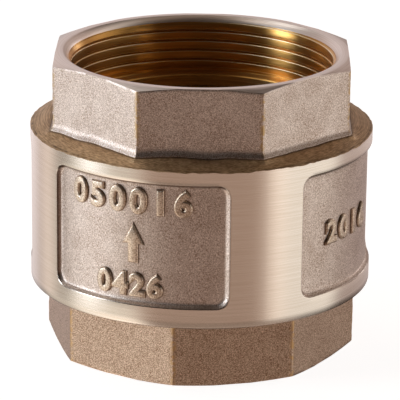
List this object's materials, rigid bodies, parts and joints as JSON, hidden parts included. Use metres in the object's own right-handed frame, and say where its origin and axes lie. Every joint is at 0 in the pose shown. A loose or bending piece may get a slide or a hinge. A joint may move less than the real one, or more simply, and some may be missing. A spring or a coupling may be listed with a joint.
{
  "type": "non-return valve",
  "caption": "In-line spring-loaded non-return valve of forged brass with an octagon at each end, recessed panels round its belly and female pipe threads.",
  "frame": {"origin": "centre of the inlet end face, on which the valve stands", "axes": "+Z along the flow, from inlet to outlet; -Y is the side seen in the picture"},
  "size_m": [0.077, 0.077, 0.0675],
  "materials": {
    "forged_brass": "sandblasted forging with turned belly and bores",
    "cap_brass": "sandblasted forging with turned bores",
    "turned_brass": "turned",
    "washer_brass": "turned",
    "stem_brass": "turned and polished",
    "nut_steel": "cold-formed stainless steel",
    "spring_steel": "drawn stainless wire",
    "seal_rubber": "moulded nitrile rubber"
  },
  "bodies": {
    "housing": {"body": "forged_brass", "end_cap": "cap_brass", "cap_seal": "seal_rubber", "spring": "spring_steel"},
    "poppet": {"valve_disc": "turned_brass", "disc_seal": "seal_rubber", "seal_washer": "washer_brass", "stem_nut": "nut_steel", "stem": "stem_brass"}
  },
  "joints": [
    {"name": "poppet_lift", "type": "slide", "parent": "housing", "child": "poppet", "axis": [0, 0, 1], "range_m": [0, 0.01], "stiffness_N_per_m": 600, "springref_m": -0.0074, "deforming": ["spring"]}
  ]
}
